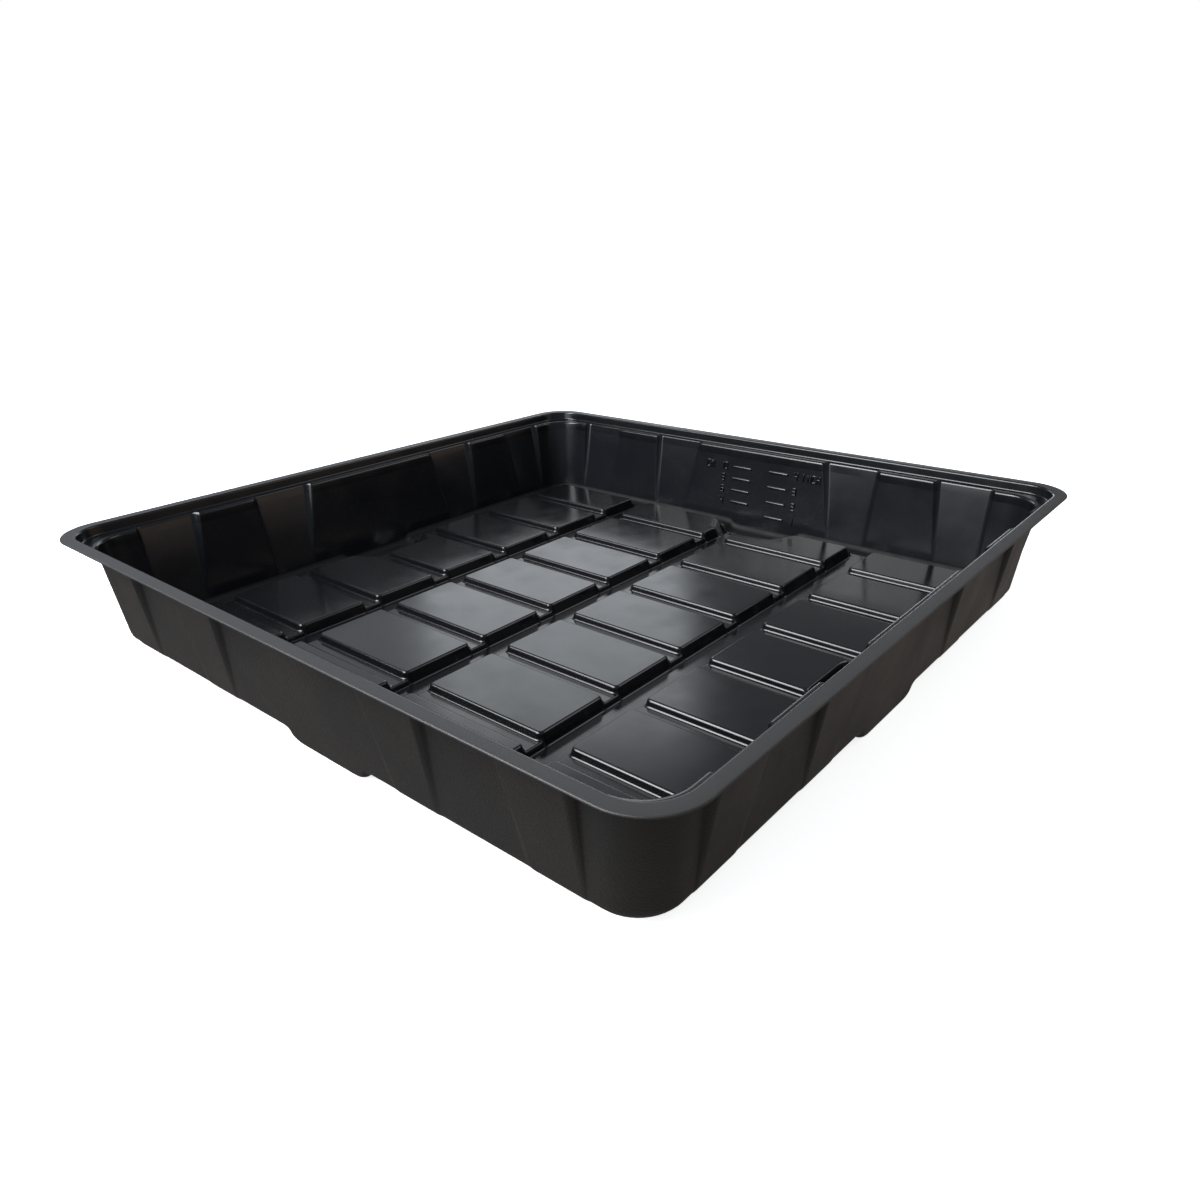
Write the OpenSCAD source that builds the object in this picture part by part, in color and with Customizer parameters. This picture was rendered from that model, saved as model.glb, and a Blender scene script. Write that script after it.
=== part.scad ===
// Square flood and drain tray, formed from one sheet, with a push-in drain and an adjustable overflow.
// Origin: middle of the base. +Z up, X and Y along the walls. Millimetres.
// An inset is a distance inwards from the rim's outer edge.

/* [Tray] */
// Length of the rim along X
tray_x = 960; // [880:5:1200]
// Length of the rim along Y
tray_y = 960; // [880:5:1200]
// Height from the base to the top of the rim
tray_h = 152; // [110:1:220]
// Thickness of the formed sheet
sheet_t = 3; // [2:0.5:4]

/* [Rim] */
// Width of the flat rim
rim_w = 17; // [12:1:24]
// Drop from the rim to the ledge
rim_drop = 13.5; // [8:0.5:20]
// Outer corner radius of the rim
rim_r = 57; // [50:1:80]

/* [Walls] */
// Inset of the wall's outer face at the ledge, between ribs
wall_inset_top = 29; // [26:1:34]
// Inset of the wall's outer face at the floor
wall_inset_floor = 44; // [40:1:56]
// Corner radius of the wall at the ledge
wall_r_top = 50; // [44:1:70]
// Corner radius of the wall at the floor
wall_r_floor = 47; // [42:1:66]
// Rounding of the outer bottom edge
edge_r = 14; // [6:1:16]
// Fillet between the wall and the gutter inside
fillet_r = 10; // [4:1:14]

/* [Ribs] */
// How far a rib stands proud of the wall at the ledge
rib_depth = 9.5; // [4:0.5:11]
// Width of a rib at the ledge
rib_w_top = 76; // [50:1:90]
// Width of a rib at the floor
rib_w_floor = 48; // [30:1:70]
// Width of the slanted side of a rib
rib_side = 6; // [3:1:10]
// Distance of the first rib from the middle of the wall
rib_first = 164; // [120:1:180]
// Distance from rib to rib
rib_pitch = 175; // [120:1:200]
// How far a rib leans towards the corner at the floor
rib_lean = 7; // [0:1:15]

/* [Floor] */
// Depth of the sumps below the pads
sump_depth = 25; // [22:0.5:26]
// Depth of the channels and of the gutter along the walls, below the pads
channel_depth = 16; // [12:0.5:17]
// Depth of the cross grooves below the pads
groove_depth = 8; // [5:0.5:11]
// Inset of the outer edge of the pads, where the gutter begins
gutter_inset = 82; // [71:1:90]
// Corner radius of the gutter's inner edge
gutter_r = 14; // [8:1:24]
// Width of a channel at the top of the pads
channel_w = 40; // [28:1:60]
// Distance from channel to channel
channel_pitch = 213; // [170:1:240]
// Width of a groove at the top of the pads
groove_w = 24; // [16:1:34]
// Distance from groove to groove
groove_pitch = 122.5; // [100:0.5:150]
// Least width of the strip between the last groove and the rim's edge
strip_min = 110; // [100:1:140]
// Draft angle of the pad sides
pad_draft = 22; // [8:1:35]
// Corner radius of the pads in plan
pad_r = 6; // [2:0.5:7]
// Slope of the channel and groove ends, from upright
end_slope = 20; // [15:1:22]
// Inset of the channel and groove ends in the gutter, at the height of the pads' top
end_inset = 58; // [57:0.5:59]

/* [Sumps] */
// Length of a sump at its wall, at the top of the pads
sump_len = 180; // [170:1:220]
// How much each end of a sump draws in towards its inner edge
sump_taper = 40; // [20:1:45]
// Slope of the ends of a sump, from upright
sump_slope = 37; // [20:1:42]
// Inset of a sump's inner edge
sump_inset = 120; // [112:1:130]
// Middle of the front and rear sumps along X
sump_mid_x = 25; // [-10:1:30]
// Middle of the right sump along Y
sump_right_mid = -6; // [-30:1:30]
// Middle of the left sump along Y
sump_left_mid = -22; // [-40:1:40]
// Corner radius of a sump in plan
sump_r = 16; // [6:1:18]
// Rounding of a sump's outer bottom edge
sump_edge_r = 6; // [2:1:8]

/* [Outlets] */
// Distance between the drain and the overflow
outlet_pitch = 68; // [56:1:80]
// Inset of the outlets' axes
outlet_inset = 74; // [72:1:76]
// Hole in the sump floor
hole_d = 28; // [26:0.5:32]
// Flange of a rubber bush
bush_flange_d = 36; // [34:0.5:40]
// Thickness of the bush flange
bush_flange_t = 3; // [2:0.5:5]
// Bore of a rubber bush
bush_bore_d = 22; // [20:0.5:24]
// Flange of a sleeve
sleeve_flange_d = 30; // [28:0.5:32]
// Thickness of the sleeve flange
sleeve_flange_t = 2; // [1.5:0.5:4]
// Bore of a sleeve, for a hose spigot
port_d = 16; // [12:0.5:17]
// Depth of the recess that keeps the outlets clear of the ground
ground_gap = 0.3; // [0.1:0.1:1]

/* [Overflow] */
// Height of the upstand that carries the standpipe
upstand_h = 16; // [12:1:24]
// Length of the standpipe
standpipe_h = 42; // [34:1:60]
// Wall of the standpipe
standpipe_wall = 2.9; // [2.5:0.1:3.5]
// Length of the riser
riser_h = 50; // [36:1:70]
// Wall of the riser
riser_wall = 2; // [1.5:0.1:2.5]
// Depth of an O-ring groove
seal_depth = 1.5; // [1:0.1:1.7]
// Distance of an O-ring below the end of its pipe
seal_down = 5; // [3:0.5:8]

/* [Screens] */
// Wall of the strainer and the screen
screen_wall = 2; // [1.5:0.1:2.5]
// Height of the slots in the strainer and the screen
slot_h = 10; // [5:0.5:14]
// Width of a slot
slot_w = 3; // [2:0.5:4]
// Slots round the strainer and the screen
slot_count = 12; // [6:1:16]
// Thickness of the strainer's and the screen's top
screen_top = 2.5; // [2:0.5:4]
// How far the screen reaches down over the riser
screen_lap = 8; // [4:1:12]

/* [Fits] */
// Radial gap of a pushed-in piece
push_gap = 0.05; // [0.02:0.01:0.1]
// Radial gap between sliding pipes
slide_gap = 0.1; // [0.05:0.01:0.1]
// Radial gap of a screen on its seat
screen_gap = 0.2; // [0.1:0.05:0.4]
// Gap under a piece that lifts off
seat_gap = 0.3; // [0.2:0.05:0.5]

/* [Hidden] */
$fn = 64;

// Steps in a wall corner, in the outer edge and in the inner fillet
corner_steps = 6;
edge_steps = 3;
fillet_steps = 4;
// Overlap that joins or cuts cleanly
bite = 1;
// Small step that keeps two sloping faces from lying in one plane
face_step = 0.4;
// Height of a section that a drafted shape is spanned between
film = 0.01;

// Half the tray across a wall, and half along it
half_x = tray_x / 2;
half_y = tray_y / 2;

// Heights
pad_z = sheet_t + sump_depth;
gutter_z = pad_z - channel_depth;
ledge_z = tray_h - rim_drop;
under_z = gutter_z - sheet_t;
bush_top_z = sheet_t + bush_flange_t;
sleeve_top_z = bush_top_z + sleeve_flange_t;
upstand_top_z = sleeve_top_z + upstand_h;
standpipe_z = sleeve_top_z + seat_gap;
standpipe_top_z = standpipe_z + standpipe_h;
riser_top_z = standpipe_z + riser_h;

// Radii of the outlet pieces, each from the one inside it
port_r = port_d / 2;
bush_bore_r = bush_bore_d / 2;
upstand_r = bush_bore_r - push_gap;
standpipe_bore_r = upstand_r + slide_gap;
standpipe_r = standpipe_bore_r + standpipe_wall;
riser_bore_r = standpipe_r + slide_gap;
riser_r = riser_bore_r + riser_wall;
screen_bore_r = riser_r + screen_gap;
strainer_bore_r = sleeve_flange_d / 2 + screen_gap;

// Places of the outlets
outlet_y = -half_y + outlet_inset;
drain_x = sump_mid_x - outlet_pitch / 2;
overflow_x = sump_mid_x + outlet_pitch / 2;

// Sumps: turn of the wall and middle along it
sumps = [
    [0, sump_mid_x],
    [90, sump_right_mid],
    [180, -sump_mid_x],
    [270, -sump_left_mid]
];

// Colours
sheet_black = [0.05, 0.05, 0.055];
rubber_black = [0.08, 0.08, 0.08];
fitting_black = [0.12, 0.12, 0.13];

function mix(a, b, t) = a + (b - a) * t;

// 0 at the ledge, 1 at the gutter's underside
function wall_t(z) = (ledge_z - z) / (ledge_z - under_z);

function wall_inset(z) = mix(wall_inset_top, wall_inset_floor, wall_t(z));

// Half of a wall's straight length at height z
function wall_reach(half, z) = half - wall_inset(z) - mix(wall_r_top, wall_r_floor, wall_t(z));

// Ribs on half a wall, as many as fit before the corner
function rib_count(half) = max(
    0,
    1 + floor((wall_reach(half, ledge_z) - rib_first - rib_w_top / 2 - rib_side) / rib_pitch)
);

// Points of half a wall, from its middle to the corner: distance along the wall, inset.
// inside is the distance from the wall's outer face to the face drawn.
function half_wall(half, z, inside) =
    let (
        t = wall_t(z),
        panel = wall_inset(z) + inside,
        rib = panel - rib_depth * (1 - t),
        narrow = min(inside, sheet_t) * tan(atan2(rib_depth, rib_side) / 2),
        w = mix(rib_w_top, rib_w_floor, t) / 2 - narrow
    )
    [for (k = [0:1:rib_count(half) - 1])
        let (mid = rib_first + k * rib_pitch + rib_lean * t)
        each [
            [mid - w - rib_side, panel],
            [mid - w, rib],
            [mid + w, rib],
            [mid + w + rib_side, panel]
        ]
    ];

// Points of a whole wall, from left to right as seen from outside
function whole_wall(half, z, inside) =
    let (right = half_wall(half, z, inside), n = len(right))
    concat(
        [for (i = [n - 1:-1:0]) [-right[i][0], right[i][1]]],
        right
    );

// One turn round the wall at height z, corners rounded with radius r
function wall_loop(z, inside) =
    let (
        inset = wall_inset(z) + inside,
        r = mix(wall_r_top, wall_r_floor, wall_t(z)) - inside,
        cx = half_x - inset - r,
        cy = half_y - inset - r,
        arc = [for (i = [0:corner_steps]) 90 * i / corner_steps],
        along_x = whole_wall(half_x, z, inside),
        along_y = whole_wall(half_y, z, inside)
    )
    concat(
        [for (p = along_x) [p[0], -half_y + p[1], z]],
        [for (a = arc) [cx + r * sin(a), -cy - r * cos(a), z]],
        [for (p = along_y) [half_x - p[1], p[0], z]],
        [for (a = arc) [cx + r * cos(a), cy + r * sin(a), z]],
        [for (p = along_x) [-p[0], half_y - p[1], z]],
        [for (a = arc) [-cx - r * sin(a), cy + r * cos(a), z]],
        [for (p = along_y) [-half_x + p[1], -p[0], z]],
        [for (a = arc) [-cx - r * cos(a), -cy - r * sin(a), z]]
    );

// Turns from the bottom of a rounded edge up to a plain wall that ends at top_z
function rounded_wall(bottom_z, r, steps, inside, top_z) = concat(
    [for (i = [steps:-1:0])
        let (a = 90 * i / steps)
        wall_loop(bottom_z + r - r * sin(a), inside + r - r * cos(a))
    ],
    [wall_loop(top_z, inside)]
);

// Solid through a stack of turns, lowest first
module skin(turns) {
    n = len(turns[0]);
    m = len(turns);
    sides = [for (i = [0:m - 2], j = [0:n - 1])
        let (
            a = i * n + j,
            b = i * n + (j + 1) % n
        )
        each [[a, a + n, b + n], [a, b + n, b]]
    ];
    caps = [
        [for (j = [0:n - 1]) j],
        [for (j = [n - 1:-1:0]) (m - 1) * n + j]
    ];
    polyhedron([for (turn = turns) each turn], concat(sides, caps), convexity = 8);
}

// Flat rounded rectangle, inset from the rim's outer edge
module rim_shape(inset) {
    r = rim_r - inset;
    for (x = [-1, 1], y = [-1, 1])
        translate([x * (half_x - rim_r), y * (half_y - rim_r)])
            circle(r);
    square([2 * (half_x - inset), 2 * (half_y - rim_r)], center = true);
    square([2 * (half_x - rim_r), 2 * (half_y - inset)], center = true);
}

// Thin rounded shape at height z; x and y are its low and high sides.
// Each end draws in by taper towards the high side of y.
module plate(x, y, r, z, taper = 0) {
    inwards = [r, -r];
    for (i = [0, 1], j = [0, 1])
        translate([x[i] + inwards[i] + sign(inwards[i]) * taper * j, y[j] + inwards[j], z])
            cylinder(h = film, r = r, $fn = 16);
}

// Moves the low side of a span down and its high side up
function widen(span, by) = span + [-by, by];

// Side of a floor hollow at height z, or of the sheet under it, against its place at the pads' top
function lean_out(slope, shell, z) = shell / cos(slope) - (pad_z - z) * tan(slope);

// Drafted pocket in the floor, or the sheet under it when shell is the sheet's thickness.
// x and y are its sides at the top of the pads, slopes their lean from upright.
module pocket(x, y, slopes, depth, shell) {
    hull()
        for (z = [pad_z - depth - shell, shell > 0 ? pad_z - shell / 2 : pad_z + bite])
            plate(
                widen(x, lean_out(slopes[0], shell, z)),
                widen(y, lean_out(slopes[1], shell, z)),
                pad_r + shell,
                z
            );
}

// Block whose top carries the pads, or the room under it when shell is the sheet's thickness
module plateau(shell) {
    hull()
        for (z = [-bite, pad_z - shell])
            plate(
                widen([-half_x, half_x], -gutter_inset - lean_out(pad_draft, shell, z)),
                widen([-half_y, half_y], -gutter_inset - lean_out(pad_draft, shell, z)),
                gutter_r,
                z
            );
}

module channels(shell) {
    side = half_y - end_inset;
    into_sump = half_y - sump_inset + channel_depth * (tan(end_slope) + tan(pad_draft)) + 2 * bite;
    slopes = [pad_draft, end_slope];
    for (lane = [[-channel_pitch, side], [0, into_sump], [channel_pitch, side]])
        pocket(
            widen([lane[0], lane[0]], channel_w / 2),
            [-lane[1], lane[1]],
            slopes,
            channel_depth,
            shell
        );
}

module grooves(shell) {
    side = half_x - end_inset;
    rows = 1 + floor((half_y - strip_min - groove_pitch / 2 - groove_w / 2) / groove_pitch);
    for (k = [0:1:rows - 1], s = [-1, 1])
        let (y = s * (k + 0.5) * groove_pitch)
            pocket(
                [-side, side],
                widen([y, y], groove_w / 2),
                [end_slope, pad_draft],
                groove_depth,
                shell
            );
}

// Carries a wall's own frame, X along it and Y inwards, to the wall at that turn
module at_wall(turn) {
    rotate(turn)
        translate([0, turn % 180 == 0 ? -half_y : -half_x])
            children();
}

// Hollow of a sump: down to the base below the pads, and up past the wall's fillet
module sump_hollow(ends) {
    high_z = pad_z + fillet_r;
    for (span = [[sheet_t, pad_z], [pad_z, high_z]])
        hull()
            for (z = span)
                plate(
                    widen(ends, lean_out(sump_slope, 0, z)),
                    [
                        wall_inset(z) + sheet_t + face_step,
                        sump_inset + min(0, lean_out(pad_draft, 0, z))
                    ],
                    sump_r,
                    z,
                    sump_taper
                );
}

// Thin strip of the wall's section at height z, along a sump
module wall_strip(ends, z, width) {
    span = widen(ends, lean_out(sump_slope, sheet_t, z));
    translate([span[0], wall_inset(z) + face_step, z])
        cube([span[1] - span[0], width, film]);
}

// Sheet round that hollow, flush with the wall outside
module sump_shell(ends) {
    top_z = pad_z - sheet_t / 2;
    wall_z = under_z + edge_r + sump_edge_r;
    hull()
        for (z = [0, sump_edge_r, top_z])
            plate(
                widen(ends, lean_out(sump_slope, sheet_t, z)),
                [
                    wall_inset(z) + face_step + max(0, sump_edge_r - z),
                    sump_inset + lean_out(pad_draft, sheet_t, z)
                ],
                sump_r,
                z,
                sump_taper
            );
    hull() {
        wall_strip(ends, top_z, edge_r);
        wall_strip(ends, wall_z, sheet_t - 2 * face_step);
    }
}

module sump_pieces(shell) {
    for (sump = sumps)
        at_wall(sump[0])
            let (ends = widen([sump[1], sump[1]], sump_len / 2))
                if (shell)
                    sump_shell(ends);
                else
                    sump_hollow(ends);
}

module outlet_holes() {
    for (x = [drain_x, overflow_x])
        translate([x, outlet_y, -bite])
            cylinder(h = sheet_t + 2 * bite, d = hole_d);
}

// Everything inside the outer skin, with the room under the pads taken out
module wall_block() {
    difference() {
        union() {
            translate([0, 0, tray_h - sheet_t])
                linear_extrude(sheet_t)
                    rim_shape(0);
            translate([0, 0, ledge_z - sheet_t])
                linear_extrude(rim_drop)
                    rim_shape(rim_w - sheet_t);
            skin(rounded_wall(under_z, edge_r, edge_steps, 0, ledge_z - face_step));
        }
        plateau(sheet_t);
    }
}

// Room inside the walls, down to the gutter and round the pads
module wall_room() {
    translate([0, 0, ledge_z])
        linear_extrude(rim_drop + bite)
            rim_shape(rim_w);
    difference() {
        skin(rounded_wall(gutter_z, fillet_r, fillet_steps, sheet_t, ledge_z + face_step));
        plateau(0);
    }
}

module tray() {
    color(sheet_black)
        difference() {
            union() {
                wall_block();
                channels(sheet_t);
                grooves(sheet_t);
                sump_pieces(true);
            }
            wall_room();
            channels(0);
            grooves(0);
            sump_pieces(false);
            outlet_holes();
        }
}

// Ring round Z: inner and outer radius, from z0 to z1
module ring(r0, r1, z0, z1) {
    rotate_extrude()
        translate([r0, z0])
            square([r1 - r0, z1 - z0]);
}

module at_drain() {
    translate([drain_x, outlet_y])
        children();
}

module at_overflow() {
    translate([overflow_x, outlet_y])
        children();
}

module bush() {
    color(rubber_black) {
        ring(bush_bore_r, hole_d / 2 - push_gap, ground_gap, sheet_t + bush_flange_t / 2);
        ring(bush_bore_r, bush_flange_d / 2, sheet_t, bush_top_z);
    }
}

module flanged_sleeve() {
    ring(port_r, bush_bore_r - push_gap, ground_gap, bush_top_z + sleeve_flange_t / 2);
    ring(port_r, sleeve_flange_d / 2, bush_top_z, sleeve_top_z);
}

// Groove for an O-ring, cut from a pipe of outer radius r that ends at top_z
module seal_groove(r, top_z) {
    ring(r - seal_depth, r + bite, top_z - seal_down - seal_depth, top_z - seal_down);
}

// O-ring in that groove; it stands proud by half the sliding gap
module seal(r, top_z) {
    seal_r = (seal_depth - slide_gap / 2) / 2;
    color(rubber_black)
        rotate_extrude()
            translate([r + slide_gap / 2 - seal_r, top_z - seal_down - seal_depth / 2])
                circle(seal_r);
}

// Slots round a cup, from z0 up
module slots(r, z0) {
    for (i = [0:slot_count - 1])
        rotate(360 * i / slot_count)
            translate([0, -slot_w / 2, z0])
                cube([r + bite, slot_w, slot_h]);
}

module drain_bush() {
    at_drain() bush();
}

module drain_sleeve() {
    color(fitting_black)
        at_drain() flanged_sleeve();
}

module drain_strainer() {
    r = strainer_bore_r + screen_wall;
    z0 = bush_top_z + seat_gap;
    slot_z = sleeve_top_z + seat_gap;
    top_z = slot_z + slot_h + screen_wall;
    color(fitting_black)
        at_drain()
            difference() {
                union() {
                    ring(strainer_bore_r, r, z0, top_z + screen_top / 2);
                    ring(0, r, top_z, top_z + screen_top);
                }
                difference() {
                    slots(r, slot_z);
                    ring(0, strainer_bore_r - screen_wall, z0, top_z);
                }
            }
}

module overflow_bush() {
    at_overflow() bush();
}

module overflow_sleeve() {
    color(fitting_black)
        at_overflow()
            difference() {
                union() {
                    flanged_sleeve();
                    ring(port_r, upstand_r, bush_top_z, upstand_top_z);
                }
                seal_groove(upstand_r, upstand_top_z);
            }
}

module standpipe_seal() {
    at_overflow() seal(upstand_r, upstand_top_z);
}

module standpipe() {
    color(fitting_black)
        at_overflow()
            difference() {
                ring(standpipe_bore_r, standpipe_r, standpipe_z, standpipe_top_z);
                seal_groove(standpipe_r, standpipe_top_z);
            }
}

module riser_seal() {
    at_overflow() seal(standpipe_r, standpipe_top_z);
}

module riser() {
    color(fitting_black)
        at_overflow()
            ring(riser_bore_r, riser_r, standpipe_z, riser_top_z);
}

module overflow_screen() {
    r = screen_bore_r + screen_wall;
    seat_z = riser_top_z + seat_gap;
    slot_z = seat_z + screen_wall / 2;
    top_z = slot_z + slot_h + screen_wall / 2;
    color(fitting_black)
        at_overflow()
            difference() {
                union() {
                    ring(screen_bore_r, r, riser_top_z - screen_lap, seat_z + screen_wall / 2);
                    ring(riser_bore_r, r, seat_z, top_z + screen_top / 2);
                    ring(0, r, top_z, top_z + screen_top);
                }
                difference() {
                    slots(r, slot_z);
                    ring(0, riser_bore_r - screen_wall, seat_z, top_z);
                }
            }
}

tray();
drain_bush();
drain_sleeve();
drain_strainer();
overflow_bush();
overflow_sleeve();
standpipe_seal();
standpipe();
riser_seal();
riser();
overflow_screen();
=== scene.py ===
import math

import bpy
import numpy as np
from mathutils import Matrix, Vector


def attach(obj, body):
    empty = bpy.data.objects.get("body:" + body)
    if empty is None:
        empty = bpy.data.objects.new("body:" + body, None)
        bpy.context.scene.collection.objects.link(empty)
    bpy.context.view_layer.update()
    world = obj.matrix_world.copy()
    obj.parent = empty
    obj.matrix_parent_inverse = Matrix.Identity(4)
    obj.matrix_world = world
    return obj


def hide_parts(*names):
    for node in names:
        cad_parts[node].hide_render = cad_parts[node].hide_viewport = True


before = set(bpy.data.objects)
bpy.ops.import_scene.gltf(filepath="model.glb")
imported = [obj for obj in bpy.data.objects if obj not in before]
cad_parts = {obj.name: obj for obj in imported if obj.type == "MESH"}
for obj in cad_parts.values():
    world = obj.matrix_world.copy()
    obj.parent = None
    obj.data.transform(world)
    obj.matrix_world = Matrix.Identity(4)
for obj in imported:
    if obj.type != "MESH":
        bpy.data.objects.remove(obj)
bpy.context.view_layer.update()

# Shape of the tray, in millimetres, heights above the base.
# An inset is a distance inwards from the rim's outer edge.
MM = 0.001
HALF = 480.0
SHEET = 3.0
RIM_TOP = 152.0
LEDGE_Z = 138.5
UNDER_Z = 9.0
PAD_Z = 28.0
GROOVE_Z = 19.5
GUTTER_Z = 12.0
SUMP_Z = 3.0
SEAM_INSET = 66.0
SEAM = HALF - SEAM_INSET

WALL_TOP = 32.0
WALL_FLOOR = 47.0
WALL_LEAN = math.atan((WALL_FLOOR - WALL_TOP) / (LEDGE_Z - UNDER_Z))
RIB_DEPTH = 9.0
RIB_FLOOR = [142.0, 201.0, 316.0, 376.0]
RIB_TOP = [118.0, 210.0, 297.0, 381.0]
RIB_BLEND = 9.0

# Pads between the channels and the cross grooves, and how their edges and feet are rounded;
# a rounding takes no more than its share of a low step
PAD_LEAN = math.radians(15)
PAD_CORNER = 6.0
PAD_EDGE = 3.7
PAD_FOOT = 3.3
STEP_ROUND = 2.4
ROUND_SHARE = 0.48
COLUMNS = [(-397.0, -231.0), (-193.0, -20.0), (20.0, 193.0), (233.0, 399.0)]
ROW_PITCH = 122.5
ROW_HALF = 49.25
ROW_END = 400.0
GROOVE_EDGE = 3 * ROW_PITCH - ROW_HALF
MIDDLE_ROWS = [(ROW_PITCH * k - ROW_HALF, ROW_PITCH * k + ROW_HALF) for k in range(-2, 3)]
ROWS = [(-ROW_END, -GROOVE_EDGE)] + MIDDLE_ROWS + [(GROOVE_EDGE, ROW_END)]
# The ground's own steps are moved this far in under the pads, over a blend at the pads' sides
UNDER_PAD = 10.0
ROW_BLEND = 3.0
PAD_BLEND = 4.0

# Sumps at the front, right, rear and left walls: how far in they reach, their middles along
# the wall, and the shape that they share
SUMP_INSETS = [120.0, 120.0, 126.0, 116.0]
SUMP_MIDS = [25.0, -6.0, -25.0, 22.0]
SUMP_SLOPE = math.radians(37)
SUMP_HALF = 90.0
SUMP_TAPER = 40.0
SUMP_WALL = 46.0
SUMP_EDGE = 5.0
SUMP_FOOT = 6.0
SUMP_CORNER = 6.0
PAD_SUMP_CORNER = 5.0

# Outlet holes in the front sump; no other face near them is this low
HOLES = [(-9.0, -406.0), (59.0, -406.0)]
HOLE_R = 14.0
HOLE_BELOW = 8.0


def smooth(t):
    t = np.clip(t, 0.0, 1.0)
    return t * t * (3 - 2 * t)


def mix(a, b, t):
    return a + (b - a) * t


def soft_max(a, b, k):
    h = np.maximum(k - np.abs(a - b), 0.0) / k
    return np.maximum(a, b) + h * h * k / 4


def step_profile(d, top, low, r_edge, r_foot):
    """Height over a leaning step: d is the distance past the top edge."""
    rise = np.maximum(top - low, 1e-6)
    k = math.tan((math.pi / 2 - PAD_LEAN) / 2)
    most = ROUND_SHARE * rise / (k * math.cos(PAD_LEAN))
    r1 = np.minimum(r_edge, most)
    r2 = np.minimum(r_foot, most)
    z = np.clip(top - d / math.tan(PAD_LEAN), low, top)
    start = -r1 * k
    edge = (d > start) & (d < r1 * k * math.sin(PAD_LEAN))
    z = np.where(edge, top - r1 + np.sqrt(np.maximum(r1**2 - (d - start) ** 2, 0)), z)
    foot = rise * math.tan(PAD_LEAN)
    end = foot + r2 * k
    low_arc = (d > foot - r2 * k * math.sin(PAD_LEAN)) & (d < end)
    return np.where(low_arc, low + r2 - np.sqrt(np.maximum(r2**2 - (end - d) ** 2, 0)), z)


def span_distance(v, spans):
    return np.min([np.maximum(lo - v, v - hi) for lo, hi in spans], axis=0)


def pad_distance(x, y):
    qx = span_distance(x, COLUMNS) + PAD_CORNER
    qy = span_distance(y, ROWS) + PAD_CORNER
    outside = np.hypot(np.maximum(qx, 0), np.maximum(qy, 0))
    return outside + np.minimum(np.maximum(qx, qy), 0) - PAD_CORNER


def sump_distance(x, y):
    """Distance to the nearest sump at the height of the pads, negative inside."""
    best = np.full(np.shape(x), np.inf)
    places = [(x, y + HALF), (y, HALF - x), (-x, HALF - y), (-y, HALF + x)]
    for (along, inset), mid, sump_inset in zip(places, SUMP_MIDS, SUMP_INSETS):
        narrowing = SUMP_TAPER / (sump_inset - SUMP_WALL)
        end_scale = math.tan(PAD_LEAN) / math.tan(SUMP_SLOPE) * math.cos(math.atan(narrowing))
        reach = SUMP_HALF - narrowing * (inset - SUMP_WALL)
        ends = (np.abs(along - mid) - reach) * end_scale
        best = np.minimum(best, soft_max(ends, inset - sump_inset, SUMP_CORNER))
    return best


def ground_height(x, y):
    """Height between the pads: grooves, the channels and gutter beside them, and sumps."""
    lean = math.tan(PAD_LEAN)
    in_row = smooth(-span_distance(y, ROWS) / ROW_BLEND)
    column = np.maximum(span_distance(x, COLUMNS), np.abs(y) - ROW_END)
    column = column - (PAD_Z - GROOVE_Z) * lean + UNDER_PAD * in_row
    z = step_profile(column, GROOVE_Z, GUTTER_Z, STEP_ROUND, STEP_ROUND)
    in_pad = smooth(-pad_distance(x, y) / PAD_BLEND)
    sump = sump_distance(x, y) + (PAD_Z - GUTTER_Z) * lean - UNDER_PAD * in_pad
    return step_profile(-sump, z, SUMP_Z, SUMP_EDGE, SUMP_FOOT)


def floor_height(x, y):
    pads = soft_max(pad_distance(x, y), -sump_distance(x, y), PAD_SUMP_CORNER)
    return step_profile(pads, PAD_Z, ground_height(x, y), PAD_EDGE, PAD_FOOT)


# Lines of the floor's mesh: steps across a pad's side, over the ends of the sumps, and elsewhere
EDGE_STEPS = [-7, -5, -3.7, -3.0, -2.2, -1.4, -0.7, -0.1, 0.4, 0.7, 0.95]
CHANNEL_STEPS = EDGE_STEPS + [1.8, 2.6, 3.4, 3.7, 4.0, 4.4, 5.0, 5.8, 6.7, 7.66]
GROOVE_STEPS = EDGE_STEPS + [1.4, 1.7, 2.0, 2.4, 3.0, 3.8, 4.7, 5.65]
SUMP_STEP = 2.4
SUMP_REACH = 128.0
SUMP_ENDS_X = [(-76, -18), (68, 126)]
SUMP_ENDS_Y = [(-123, -48), (20, 95)]
PLAIN_STEP = 20.0
RIB_LINES = 7
LEAST_STEP = 0.24
LEAST_SEAM_STEP = 0.5
SLOPE_STEP = 0.04


def grid_lines(spans, sump_ends, steps):
    """Lines across the floor, close together where the shape turns."""
    lines = [-SEAM, SEAM]
    for lo, hi in spans:
        lines += [lo - d for d in steps] + [hi + d for d in steps]
    for knot in RIB_FLOOR:
        for d in np.linspace(-0.5, 0.5, RIB_LINES) * RIB_BLEND:
            lines += [knot + d, -knot - d]
    for first, last in sump_ends:
        lines += list(np.arange(first, last, SUMP_STEP))
    lines += list(np.arange(-ROW_END, ROW_END + 1, PLAIN_STEP))
    for edge in np.arange(HALF - SUMP_REACH, SEAM, SUMP_STEP):
        lines += [edge, -edge]
    lines = np.array(sorted(v for v in lines if abs(v) <= SEAM))
    kept = [-SEAM]
    for v in lines[1:-1]:
        if v - kept[-1] > LEAST_STEP and SEAM - v > LEAST_SEAM_STEP:
            kept.append(v)
    return np.array(kept + [SEAM])


x_lines = grid_lines(COLUMNS, SUMP_ENDS_X, CHANNEL_STEPS)
y_lines = grid_lines(ROWS, SUMP_ENDS_Y, GROOVE_STEPS)


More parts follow.
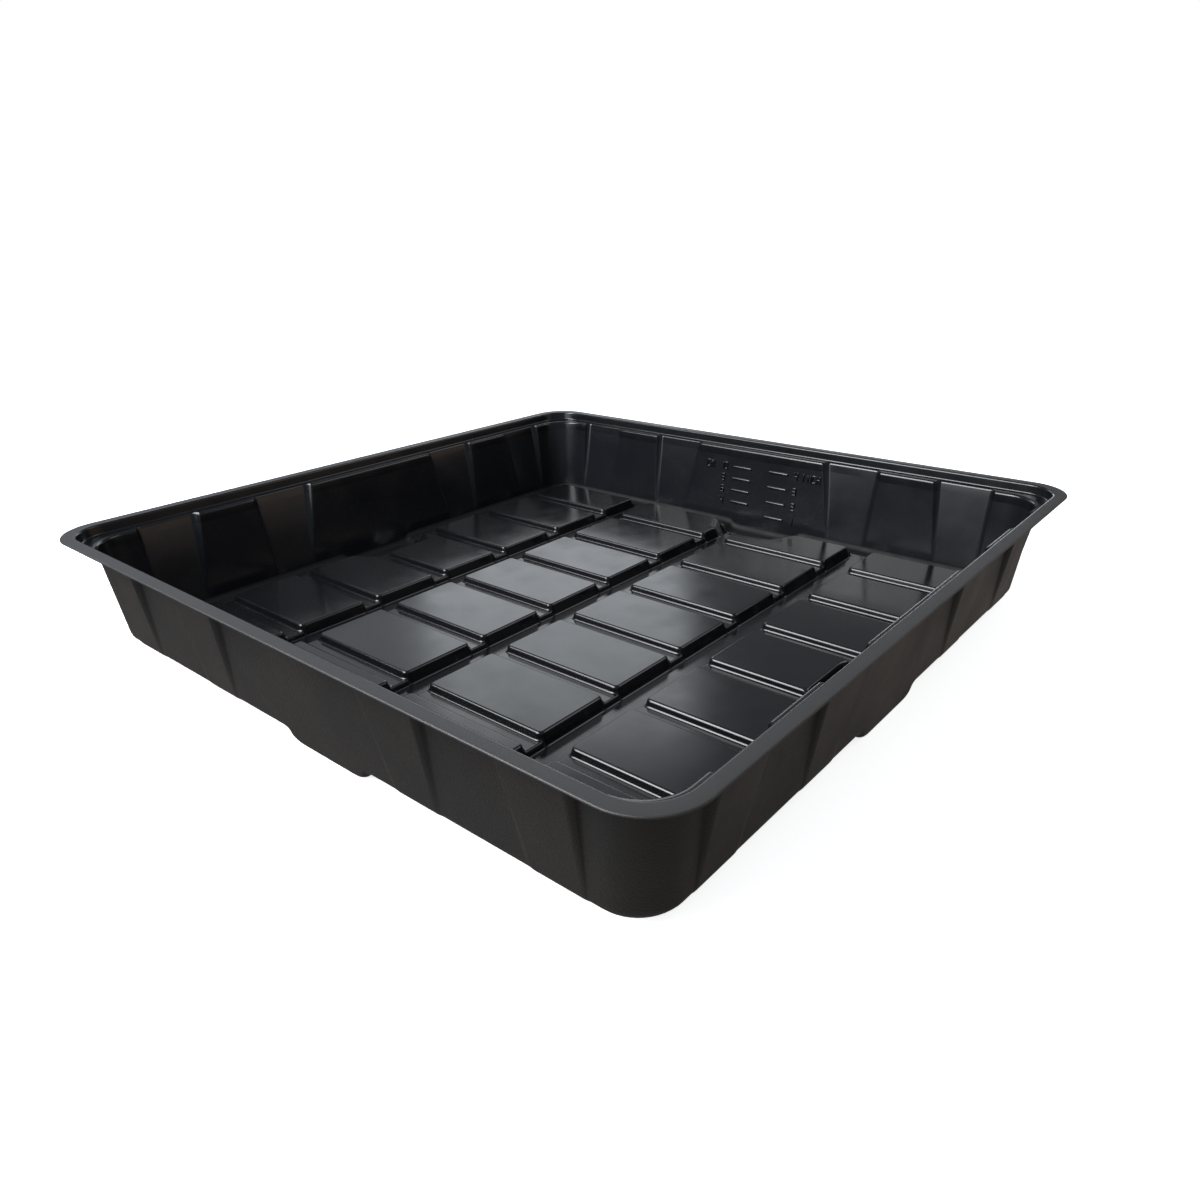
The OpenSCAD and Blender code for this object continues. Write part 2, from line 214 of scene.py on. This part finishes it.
def floor_points():
    """Points of the floor's upper side, and the normals of its shape there."""
    gx, gy = np.meshgrid(x_lines, y_lines, indexing="ij")
    gz = floor_height(gx, gy)
    e = SLOPE_STEP
    sx = (floor_height(gx + e, gy) - floor_height(gx - e, gy)) / (2 * e)
    sy = (floor_height(gx, gy + e) - floor_height(gx, gy - e)) / (2 * e)
    normal = np.stack([-sx, -sy, np.ones_like(gz)], -1)
    normal /= np.linalg.norm(normal, axis=-1, keepdims=True)
    return np.stack([gx, gy, gz], -1), normal


# Columns round the wall: the floor's own lines on each side, then a fan in the corner
CORNER_COLUMNS = 11
CORNER_FAN = [90.0 * i / (CORNER_COLUMNS + 1) for i in range(1, CORNER_COLUMNS + 1)]
column_s = []
column_angle = []
column_turn = []
for turn, lines in enumerate([x_lines, y_lines, -x_lines[::-1], -y_lines[::-1]]):
    column_s += list(lines) + [SEAM] * CORNER_COLUMNS
    column_angle += [0.0] * len(lines) + CORNER_FAN
    column_turn += [turn] * (len(lines) + CORNER_COLUMNS)
column_s = np.array(column_s)
column_angle = np.radians(column_angle)
column_turn = np.array(column_turn)
in_corner = column_angle > 0


def rib_mask(s):
    """1 on a rib, 0 between ribs and in the corners."""
    a = np.abs(s)
    mask = np.zeros_like(a)
    for lo, hi in (RIB_FLOOR[:2], RIB_FLOOR[2:]):
        up = smooth((a - lo) / RIB_BLEND + 0.5)
        down = smooth((a - hi) / RIB_BLEND + 0.5)
        mask += up * (1 - down)
    return np.where(in_corner, 0.0, mask)


rib = rib_mask(column_s)
column_lean = np.arctan((WALL_FLOOR - WALL_TOP + RIB_DEPTH * rib) / (LEDGE_Z - UNDER_Z))


def wall_depth(z):
    """0 at the ledge, 1 at the gutter's underside."""
    return (LEDGE_Z - z) / (LEDGE_Z - UNDER_Z)


def wall_inset(z):
    t = wall_depth(z)
    return mix(WALL_TOP, WALL_FLOOR, t) - RIB_DEPTH * (1 - t) * rib


def turn_about(points, turn):
    for _ in range(turn):
        points = np.stack([-points[..., 1], points[..., 0]], -1)
    return points


def ring(inset, z, radius):
    """One turn round the tray. inset and z are one value or one for each column."""
    inset = np.broadcast_to(inset, column_s.shape).astype(float)
    z = np.broadcast_to(z, column_s.shape).astype(float)
    corner_inset = inset[np.argmax(in_corner)]
    reach = HALF - corner_inset - radius
    t = np.clip(wall_depth(z), 0, 1)
    a = np.abs(column_s)
    floor_knots = [0.0] + RIB_FLOOR + [SEAM]
    top_knots = [0.0] + RIB_TOP + [reach]
    last = len(floor_knots) - 2
    u = np.zeros_like(a)
    for i in range(len(floor_knots) - 1):
        f0, f1 = floor_knots[i : i + 2]
        k0 = mix(top_knots[i], f0, t)
        k1 = np.full_like(a, reach) if i == last else mix(top_knots[i + 1], f1, t)
        here = (a >= f0) & (a <= f1)
        u = np.where(here, mix(k0, k1, (a - f0) / (f1 - f0)), u)
    u = u * np.sign(column_s)
    px = np.where(in_corner, reach + radius * np.sin(column_angle), u)
    py = np.where(in_corner, -reach - radius * np.cos(column_angle), -HALF + inset)
    flat = np.stack([px, py], -1)
    for turn in range(1, 4):
        pick = column_turn == turn
        flat[pick] = turn_about(flat[pick], turn)
    return np.concatenate([flat, z[:, None]], -1)


def seam_floor():
    """Height of the floor where each column meets it."""
    edge = ring(SEAM_INSET, GUTTER_Z, 0.0)
    edge_z = floor_height(edge[:, 0], edge[:, 1])
    return np.where(in_corner, GUTTER_Z, edge_z)


floor_z = seam_floor()
sunk = (GUTTER_Z - floor_z) / (GUTTER_Z - SUMP_Z)

# Rings down one side of the sheet, from the rim's edge to the floor
RIM_EDGE = [(0.0, 0.0), (0.2, 0.75), (0.75, 1.3), (1.5, 1.5)]
RIM_ROWS = len(RIM_EDGE) + 1
ARC_ROWS = 6
EDGE_ROWS = 5
WALL_ROWS = 10
FOOT_ROWS = 7
STEP_TURN = 84.0
SEAM_SHARES = (0.35, 0.7)


def wall_turns(face, top_z, low_z, r_top, r_low):
    """Insets and heights down a wall: rounding at the ledge, wall, rounding at the floor."""
    turn_angle = math.pi / 2 - column_lean
    rings = []
    corner = wall_inset(top_z) - face
    reach = r_top * np.tan(turn_angle / 2)
    for f in np.linspace(0, 1, EDGE_ROWS):
        a = turn_angle * f
        rings.append((corner - reach + r_top * np.sin(a), top_z - r_top + r_top * np.cos(a)))
    edge_end = rings[-1]
    low_corner = wall_inset(low_z) - face
    low_reach = r_low * np.tan(turn_angle / 2)
    foot_inset = low_corner - low_reach * np.sin(column_lean)
    foot_z = low_z + low_reach * np.cos(column_lean)
    for f in np.linspace(0, 1, WALL_ROWS + 2)[1:-1]:
        rings.append((mix(edge_end[0], foot_inset, f), mix(edge_end[1], foot_z, f)))
    for f in np.linspace(1, 0, FOOT_ROWS):
        b = turn_angle * f
        n = low_corner + low_reach - r_low * np.sin(b)
        rings.append((n, low_z + r_low - r_low * np.cos(b)))
    foot_end = rings[-1][0]
    for f in SEAM_SHARES:
        rings.append((mix(foot_end, SEAM_INSET, f), low_z))
    return rings


def arc(inset, z, r, first, last, sign):
    """Rounding about a middle; sign is 1 for an edge and -1 for a foot."""
    turns = np.radians(np.linspace(first, last, ARC_ROWS))
    return [(inset + sign * r * math.sin(a), z + sign * r * math.cos(a)) for a in turns]


def side_turns(side, face, flat, step_edge, step_foot, r_top, r_low):
    """Rings of one side of the sheet: side is 1 above and -1 below, face its depth in the sheet.
    flat is an inset on the rim's flat; a rounding of the step is its middle's inset and radius."""
    middle = RIM_TOP - SHEET / 2
    top, ledge = RIM_TOP - face, LEDGE_Z - face
    rings = [(n, middle + side * dz) for n, dz in RIM_EDGE] + [(flat, top)]
    rings += arc(step_edge[0], top - step_edge[1], step_edge[1], 0, STEP_TURN, 1)
    rings += arc(step_foot[0], ledge + step_foot[1], step_foot[1], STEP_TURN, 0, -1)
    walls = wall_turns(face, ledge, floor_z - face, r_top, r_low)
    rings.append(((step_foot[0] + walls[0][0]) / 2, ledge))
    return rings + walls


inner_turns = side_turns(
    side=1,
    face=0.0,
    flat=8.0,
    step_edge=(14.3, 2.7),
    step_foot=(20.6, 2.5),
    r_top=4.2,
    r_low=mix(9.0, 10.0, sunk),
)
outer_turns = side_turns(
    side=-1,
    face=SHEET,
    flat=7.0,
    step_edge=(12.4, 1.2),
    step_foot=(18.4, 3.5),
    r_top=1.0,
    r_low=mix(14.0, 6.0, sunk),
)

# Corner radius against inset, on each side of the sheet
INNER_RADII = ([0, 17, 21, 32, 47, 56, SEAM_INSET], [57, 44, 44, 47, 42, 32, 0])
OUTER_RADII = ([0, 14, 18, 29, 44, 56, SEAM_INSET], [57, 45, 46, 50, 46, 33, 0])


def loft(turns, radii):
    rows = []
    for inset, z in turns:
        at_corner = inset if np.isscalar(inset) else inset[np.argmax(in_corner)]
        rows.append(ring(inset, z, float(np.interp(at_corner, *radii))))
    return np.array(rows)


# Finishes of the sheet, and the rows of the inner side where the wall and its foot begin
GLOSS, GRAIN, SATIN, MATTE, RIM = range(5)
WALL_ROW = RIM_ROWS + 2 * ARC_ROWS + 1 + EDGE_ROWS
FOOT_ROW = WALL_ROW + WALL_ROWS


def seam_ids(ids):
    """Floor vertices that the columns end on."""
    out = []
    for side in (ids[:, 0], ids[-1, :], ids[::-1, -1], ids[0, ::-1]):
        out += list(side) + [side[-1]] * CORNER_COLUMNS
    return np.array(out)[None]


def quads(ids, flip):
    a, b = ids[:-1, :-1], ids[1:, :-1]
    c, d = ids[1:, 1:], ids[:-1, 1:]
    q = np.stack([a, b, c, d], -1).reshape(-1, 4)
    return q[:, ::-1] if flip else q


def around(ids):
    return np.concatenate([ids, ids[:, :1]], axis=1)


def open_edges(faces):
    """Edges that only one of the faces has, in its direction."""
    edges = {}
    for face in faces.tolist():
        for a, b in zip(face, face[1:] + face[:1]):
            if (b, a) in edges:
                del edges[(b, a)]
            else:
                edges[(a, b)] = True
    return list(edges)


def cut_holes(verts, faces, upper, pair):
    """Takes out the faces in each outlet hole, brings its edge to the circle and walls it."""
    keep = np.ones(len(faces), bool)
    walls = []
    for hole in np.array(HOLES):
        centre = verts[faces].mean(axis=1)
        inside = np.linalg.norm(centre[:, :2] - hole, axis=1) < HOLE_R
        inside &= centre[:, 2] < HOLE_BELOW
        keep &= ~inside
        edges = open_edges(faces[inside & upper])
        walls += [[a, b, pair[b], pair[a]] for a, b in edges]
        for v in {v for edge in edges for v in edge}:
            for k in (v, pair[v]):
                away = verts[k, :2] - hole
                verts[k, :2] = hole + away * HOLE_R / np.linalg.norm(away)
    return keep, np.array(walls)


def build_tray():
    """Vertices, faces, finish of each face and normals: floor and sides, above and below."""
    top, top_n = floor_points()
    nx, ny = top.shape[:2]
    low = top - SHEET * top_n
    edge = np.ones((nx, ny), bool)
    edge[1:-1, 1:-1] = False
    low[edge] = top[edge] - [0, 0, SHEET]
    inner = loft(inner_turns, INNER_RADII)
    outer = loft(outer_turns, OUTER_RADII)
    rings, columns = inner.shape[:2]
    verts = np.concatenate([p.reshape(-1, 3) for p in (top, low, inner, outer[1:])])

    floor_n, side_n = nx * ny, rings * columns
    top_id = np.arange(floor_n).reshape(nx, ny)
    low_id = top_id + floor_n
    inner_id = 2 * floor_n + np.arange(side_n).reshape(rings, columns)
    outer_id = np.concatenate([inner_id[:1], inner_id[:-1] + side_n])
    parts = [
        quads(top_id, False),
        quads(low_id, True),
        quads(around(np.concatenate([inner_id, seam_ids(top_id)])), True),
        quads(around(np.concatenate([outer_id, seam_ids(low_id)])), False),
    ]
    faces = np.concatenate(parts)
    counts = [len(part) for part in parts]
    upper = np.repeat([True, False, True, False], counts)
    finish = np.repeat([GLOSS, GRAIN, GLOSS, GRAIN], counts)
    inner_row = np.arange(counts[2]) // columns
    inner_finish = np.where(inner_row < FOOT_ROW, SATIN, MATTE)
    inner_finish = np.where(inner_row < WALL_ROW, GLOSS, inner_finish)
    inner_finish = np.where(inner_row < RIM_ROWS, RIM, inner_finish)
    first = counts[0] + counts[1]
    finish[first : first + counts[2]] = inner_finish

    normals = np.zeros_like(verts)
    p = verts[faces]
    cross = np.cross(p[:, 2] - p[:, 0], p[:, 3] - p[:, 1])
    for i in range(4):
        np.add.at(normals, faces[:, i], cross)
    normals[: 2 * floor_n] = np.concatenate([top_n.reshape(-1, 3), -top_n.reshape(-1, 3)])

    pair = np.full(len(verts), -1)
    pair[top_id] = low_id
    pair[inner_id] = outer_id
    keep, hole_walls = cut_holes(verts, faces, upper, pair)
    faces = np.concatenate([faces[keep], hole_walls])
    finish = np.concatenate([finish[keep], np.full(len(hole_walls), GRAIN)])
    return verts, faces, finish, normals


def make_mesh(name, verts, faces, normals=None):
    """Mesh object from millimetres; a face may repeat a corner."""
    mesh = bpy.data.meshes.new(name)
    polygons = [[int(v) for i, v in enumerate(f) if v != f[i - 1]] for f in faces]
    mesh.from_pydata((np.asarray(verts) * MM).tolist(), [], polygons)
    mesh.polygons.foreach_set("use_smooth", [True] * len(mesh.polygons))
    obj = bpy.data.objects.new(name, mesh)
    bpy.context.scene.collection.objects.link(obj)
    if normals is not None:
        length = np.linalg.norm(normals, axis=1, keepdims=True)
        unit = normals / np.where(length > 0, length, 1)
        mesh.normals_split_custom_set_from_vertices(unit.tolist())
    return obj


def principled(name, color, spec):
    mat = bpy.data.materials.new(name)
    mat.use_nodes = True
    shader = mat.node_tree.nodes["Principled BSDF"]
    shader.inputs["Base Color"].default_value = (*color, 1.0)
    shader.inputs["Specular IOR Level"].default_value = spec
    return mat, shader


def noise(mat, scale, detail, rough):
    tree = mat.node_tree
    place = tree.nodes.new("ShaderNodeTexCoord")
    tex = tree.nodes.new("ShaderNodeTexNoise")
    tex.inputs["Scale"].default_value = scale
    tex.inputs["Detail"].default_value = detail
    tex.inputs["Roughness"].default_value = rough
    tree.links.new(place.outputs["Object"], tex.inputs["Vector"])
    return tex.outputs["Fac"]


def spread(mat, value, low, high, first, last):
    """Maps a value from first..last to low..high."""
    node = mat.node_tree.nodes.new("ShaderNodeMapRange")
    node.inputs["From Min"].default_value = first
    node.inputs["From Max"].default_value = last
    node.inputs["To Min"].default_value = low
    node.inputs["To Max"].default_value = high
    mat.node_tree.links.new(value, node.inputs["Value"])
    return node.outputs["Result"]


NOISE_RANGE = (0.3, 0.7)


def plastic(name, color, spec, patches, rough, relief, strength, depth):
    """Black plastic: roughness varies in patches, and relief is a bump with its depth in metres.
    patches and relief are a noise's scale, detail and roughness; rough is the least and most."""
    mat, shader = principled(name, color, spec)
    links = mat.node_tree.links
    roughness = spread(mat, noise(mat, *patches), *rough, *NOISE_RANGE)
    links.new(roughness, shader.inputs["Roughness"])
    bump = mat.node_tree.nodes.new("ShaderNodeBump")
    bump.inputs["Strength"].default_value = strength
    bump.inputs["Distance"].default_value = depth
    links.new(noise(mat, *relief), bump.inputs["Height"])
    links.new(bump.outputs["Normal"], shader.inputs["Normal"])
    return mat


gloss = plastic(
    name="sheet_gloss",
    color=(0.0044, 0.0045, 0.0056),
    spec=0.5,
    patches=(24.0, 4.0, 0.5),
    rough=(0.14, 0.22),
    relief=(9.0, 2.0, 0.5),
    strength=0.1,
    depth=0.003,
)
outside_grain = plastic(
    name="sheet_grain",
    color=(0.013, 0.0128, 0.0128),
    spec=0.25,
    patches=(12.0, 4.0, 0.5),
    rough=(0.42, 0.56),
    relief=(430.0, 3.0, 0.6),
    strength=0.7,
    depth=0.001,
)
wall_satin = plastic(
    name="sheet_satin",
    color=(0.0072, 0.0078, 0.0098),
    spec=0.5,
    patches=(18.0, 4.0, 0.5),
    rough=(0.16, 0.25),
    relief=(7.0, 2.0, 0.5),
    strength=0.1,
    depth=0.003,
)
foot_matte = plastic(
    name="sheet_matte",
    color=(0.0055, 0.0055, 0.0064),
    spec=0.25,
    patches=(30.0, 4.0, 0.5),
    rough=(0.56, 0.7),
    relief=(30.0, 4.0, 0.5),
    strength=0.1,
    depth=0.002,
)
# Rim of the same black sheet with a lighter base colour: painted light that makes the rim's top as
# bright as it is lit from above
rim_painted_light = plastic(
    name="sheet_rim_painted_light",
    color=(0.022, 0.0222, 0.0232),
    spec=0.5,
    patches=(12.0, 4.0, 0.5),
    rough=(0.4, 0.52),
    relief=(900.0, 3.0, 0.6),
    strength=0.25,
    depth=0.0004,
)
fitting_satin = plastic(
    name="fitting_satin",
    color=(0.03, 0.03, 0.033),
    spec=0.5,
    patches=(60.0, 3.0, 0.5),
    rough=(0.32, 0.46),
    relief=(700.0, 2.0, 0.5),
    strength=0.15,
    depth=0.0003,
)
rubber_matte = plastic(
    name="rubber_matte",
    color=(0.018, 0.018, 0.018),
    spec=0.35,
    patches=(500.0, 3.0, 0.5),
    rough=(0.62, 0.8),
    relief=(500.0, 3.0, 0.5),
    strength=0.2,
    depth=0.0004,
)

tray_verts, tray_faces, tray_finish, tray_normals = build_tray()
tray = make_mesh("tray_sheet", tray_verts, tray_faces, tray_normals)
for mat in (gloss, outside_grain, wall_satin, foot_matte, rim_painted_light):
    tray.data.materials.append(mat)
tray.data.polygons.foreach_set("material_index", tray_finish.tolist())
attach(tray, "tray_body")
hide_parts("tray")

# Level scale on the rear wall: the height of its zero, and for each unit its length and name,
# where its ticks, numbers and name stand, and the numbers
SCALE_ZERO = 8.7
SCALES = [
    (10.0, "CM", (-28.4, -64.0, -91.0), ["10", "8", "6", "4"]),
    (25.4, "INCH", (40.4, 73.0, 101.0), ["4", "3", "2", "1"]),
]
TICK_LENGTH = 37.0
TICK_HALF = 2.3
TICK_HEIGHT = 2.2
STROKE_HALF = 1.4
STROKE_HEIGHT = 1.8
FIGURE_WIDTH = 5.0
FIGURE_HEIGHT = 10.5
FIGURE_PITCH = FIGURE_WIDTH + 3.0
# Strokes of a figure between corners of a grid two wide and three high, counted from the low left
STROKES = {
    "0": "02 24 45 53 31 10",
    "1": "13 35",
    "2": "45 53 32 20 01",
    "3": "45 53 32 31 10",
    "4": "42 23 53 31",
    "6": "54 42 20 01 13 32",
    "8": "01 13 35 54 42 20 23",
    "C": "54 40 01",
    "M": "04 43 25 51",
    "I": "04",
    "N": "04 41 15",
    "H": "04 23 15",
}
RIDGE_POINTS = 24
RIDGE_RINGS = [1.0, 0.92, 0.75, 0.5, 0.2]
RIDGE_SUNK = -0.6


def ridge(start, end, half_width, height):
    """Rounded ridge from start to end on the plane Z = 0; its lowest ring lies under the plane."""
    x0, y0 = start
    x1, y1 = end
    along = math.atan2(y1 - y0, x1 - x0)
    rings = [(1.0, RIDGE_SUNK)] + [(v, height * math.sqrt(1 - v * v)) for v in RIDGE_RINGS]
    verts = []
    for v, z in rings:
        reach = v * half_width
        for i in range(RIDGE_POINTS):
            a = 2 * math.pi * (i + 0.5) / RIDGE_POINTS
            cx, cy = (x1, y1) if math.cos(a) > 0 else (x0, y0)
            verts.append((cx + reach * math.cos(a + along), cy + reach * math.sin(a + along), z))
    faces = []
    for i in range(len(rings) - 1):
        low, high = RIDGE_POINTS * i, RIDGE_POINTS * (i + 1)
        for j in range(RIDGE_POINTS):
            k = (j + 1) % RIDGE_POINTS
            faces.append((low + j, low + k, high + k, high + j))
    last = RIDGE_POINTS * (len(rings) - 1)
    faces.append(tuple(range(last, last + RIDGE_POINTS)))
    return verts, faces


def figure_strokes(text, x, z):
    """Ends and size of the strokes of a text centred on x and z."""
    out = []
    for k, figure in enumerate(text):
        left = x + (k - (len(text) - 1) / 2) * FIGURE_PITCH - FIGURE_WIDTH / 2
        for stroke in STROKES[figure].split():
            ends = []
            for corner in stroke:
                column, row = int(corner) % 2, int(corner) // 2
                ends.append((left + column * FIGURE_WIDTH, z + (row - 1) * FIGURE_HEIGHT / 2))
            out.append((*ends, STROKE_HALF, STROKE_HEIGHT))
    return out


def level_scale():
    ridges = []
    half = TICK_LENGTH / 2 - TICK_HALF
    for unit, name, (tick_x, number_x, name_x), numbers in SCALES:
        heights = [SCALE_ZERO + float(number) * unit * math.cos(WALL_LEAN) for number in numbers]
        for number, z in zip(numbers, heights):
            ridges.append(((tick_x - half, z), (tick_x + half, z), TICK_HALF, TICK_HEIGHT))
            ridges += figure_strokes(number, number_x, z)
        ridges += figure_strokes(name, name_x, heights[0])
    verts = []
    faces = []
    for start, end, half_width, height in ridges:
        points, loops = ridge(start, end, half_width, height)
        first = len(verts)
        for x, z, up in points:
            wall_y = HALF - mix(WALL_TOP, WALL_FLOOR, wall_depth(z))
            verts.append((x, wall_y - up * math.cos(WALL_LEAN), z + up * math.sin(WALL_LEAN)))
        faces += [tuple(first + i for i in loop) for loop in loops]
    return make_mesh("level_scale", np.array(verts), faces)


scale_marks = level_scale()
scale_marks.data.materials.append(gloss)
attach(scale_marks, "tray_body")

RUBBER_NODES = ["drain_bush", "overflow_bush", "standpipe_seal", "riser_seal"]
for name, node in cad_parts.items():
    if name == "tray":
        continue
    node.data.materials.clear()
    node.data.materials.append(rubber_matte if name in RUBBER_NODES else fitting_satin)


def direction(azimuth, elevation):
    """Unit vector from two angles in degrees."""
    az, el = math.radians(azimuth), math.radians(elevation)
    return Vector((math.cos(el) * math.cos(az), math.cos(el) * math.sin(az), math.sin(el)))


# Camera of the photograph: place in metres, and the way back from what it looks at
CAMERA_AT = Vector((0.7436, -0.8474, 0.5092))
CAMERA_BACK = direction(-49.73, 23.32)
CAMERA_ROLL = math.radians(1.09)
CAMERA_LENS = 26.90
level_right = (-CAMERA_BACK).cross(Vector((0, 0, 1))).normalized()
level_down = (-CAMERA_BACK).cross(level_right)
right = level_right * math.cos(CAMERA_ROLL) + level_down * math.sin(CAMERA_ROLL)
down = level_down * math.cos(CAMERA_ROLL) - level_right * math.sin(CAMERA_ROLL)
camera_data = bpy.data.cameras.new("camera")
camera_data.sensor_width = 36.0
camera_data.lens = CAMERA_LENS
camera = bpy.data.objects.new("camera", camera_data)
bpy.context.scene.collection.objects.link(camera)
turn_matrix = Matrix((right, -down, CAMERA_BACK)).transposed()
camera.matrix_world = Matrix.Translation(CAMERA_AT) @ turn_matrix.to_4x4()
bpy.context.scene.camera = camera

# Soft lights round the tray: name, azimuth and elevation in degrees, distance and size in metres,
# radiance (what a mirror would show) and colour
LIGHTS = [
    ("light_key", 251.0, 42.0, 2.8, (1.4, 2.05), 11.5, (0.94, 0.97, 1.0)),
    ("light_key_left", 222.0, 50.0, 2.8, (1.3, 1.35), 9.0, (0.94, 0.97, 1.0)),
    ("light_front", 268.0, 17.0, 3.2, (2.0, 0.9), 2.4, (0.9, 0.95, 1.0)),
    ("light_rear", 134.0, 26.5, 3.6, (1.4, 1.2), 1.45, (0.91, 0.955, 1.0)),
    ("light_rear_wide", 147.0, 27.0, 3.8, (3.2, 1.8), 0.45, (0.9, 0.95, 1.0)),
    ("light_rear_low", 112.0, 7.0, 3.8, (2.0, 0.5), 3.0, (0.93, 0.965, 1.0)),
    ("light_side", 55.0, 42.0, 3.2, (1.6, 1.2), 1.8, (0.95, 0.98, 1.0)),
    ("light_low", 40.0, 6.0, 3.2, (3.0, 0.9), 0.5, (1.0, 0.7, 0.52)),
]


def area_light(name, azimuth, elevation, distance, size, radiance, color):
    data = bpy.data.lights.new(name, "AREA")
    data.shape = "RECTANGLE"
    data.size, data.size_y = size
    data.energy = radiance * math.pi * size[0] * size[1]
    data.color = color
    obj = bpy.data.objects.new(name, data)
    away = direction(azimuth, elevation)
    obj.location = away * distance
    obj.rotation_euler = (-away).to_track_quat("-Z", "Y").to_euler()
    obj.visible_camera = False
    bpy.context.scene.collection.objects.link(obj)


for light in LIGHTS:
    area_light(*light)

WORLD_LIGHT = (0.88, 0.94, 1.0, 1)
WORLD_STRENGTH = 0.22
FLOOR_HALF = 20000.0
# A glow of the floor is its least and most, and the two places in metres that it rises between.
# Floor as reflections see it: warm, and lighter towards the rear right through a painted glow that
# stands in for light falling on the floor there
FLOOR_DARK = (0.12, 0.108, 0.1)
FLOOR_WARM = (1.0, 0.9, 0.84, 1)
FLOOR_WARM_GLOW = (0.05, 0.36, -1.2, 1.2)
# Floor as the camera sees it: lighter away from the tray
FLOOR_WHITE = (0.9, 0.9, 0.9)
FLOOR_WHITE_GLOW = (0.82, 1.0, 0.9, 3.0)
FLOOR_ROUGH = 0.9


def camera_split(nodes, links, other, seen, surface):
    """Shows one shader to the camera and another to all other rays."""
    path = nodes.new("ShaderNodeLightPath")
    pick = nodes.new("ShaderNodeMixShader")
    links.new(path.outputs["Is Camera Ray"], pick.inputs["Fac"])
    links.new(other, pick.inputs[1])
    links.new(seen, pick.inputs[2])
    links.new(pick.outputs["Shader"], surface)


def white_world():
    """White where the camera sees it, weak and a little blue as a light."""
    world = bpy.data.worlds.new("studio")
    bpy.context.scene.world = world
    world.use_nodes = True
    nodes, links = world.node_tree.nodes, world.node_tree.links
    nodes.clear()
    out = nodes.new("ShaderNodeOutputWorld")
    seen = nodes.new("ShaderNodeBackground")
    light = nodes.new("ShaderNodeBackground")
    seen.inputs["Color"].default_value = (1, 1, 1, 1)
    light.inputs["Color"].default_value = WORLD_LIGHT
    light.inputs["Strength"].default_value = WORLD_STRENGTH
    camera_split(nodes, links, light.outputs[0], seen.outputs[0], out.inputs["Surface"])


white_world()


def measure(nodes, links, place, operation):
    node = nodes.new("ShaderNodeVectorMath")
    node.operation = operation
    links.new(place.outputs["Position"], node.inputs[0])
    return node


def pale_floor():
    """White floor that keeps a faint shadow; reflections see a darker, warmer one with a painted
    glow that grows towards the rear right.
    """
    corners = [(-1, -1, 0), (1, -1, 0), (1, 1, 0), (-1, 1, 0)]
    floor = make_mesh("floor", np.array(corners) * FLOOR_HALF, [[0, 1, 2, 3]])
    mat, dark = principled("floor_white", FLOOR_DARK, 0.0)
    nodes, links = mat.node_tree.nodes, mat.node_tree.links
    seen = nodes.new("ShaderNodeBsdfPrincipled")
    seen.inputs["Base Color"].default_value = (*FLOOR_WHITE, 1)
    seen.inputs["Specular IOR Level"].default_value = 0.0
    seen.inputs["Emission Color"].default_value = (1, 1, 1, 1)
    # Painted light: the floor that reflections see glows warm, more so towards the rear right
    dark.inputs["Emission Color"].default_value = FLOOR_WARM
    place = nodes.new("ShaderNodeNewGeometry")
    across = measure(nodes, links, place, "DOT_PRODUCT")
    across.inputs[1].default_value = (1.0, 1.0, 0.0)
    reach = measure(nodes, links, place, "LENGTH")
    for shader, node, glow in ((dark, across, FLOOR_WARM_GLOW), (seen, reach, FLOOR_WHITE_GLOW)):
        shader.inputs["Roughness"].default_value = FLOOR_ROUGH
        strength = spread(mat, node.outputs["Value"], *glow)
        links.new(strength, shader.inputs["Emission Strength"])
    surface = nodes["Material Output"].inputs["Surface"]
    camera_split(nodes, links, dark.outputs["BSDF"], seen.outputs["BSDF"], surface)
    floor.data.materials.append(mat)


pale_floor()

bpy.context.scene.view_settings.view_transform = "Standard"
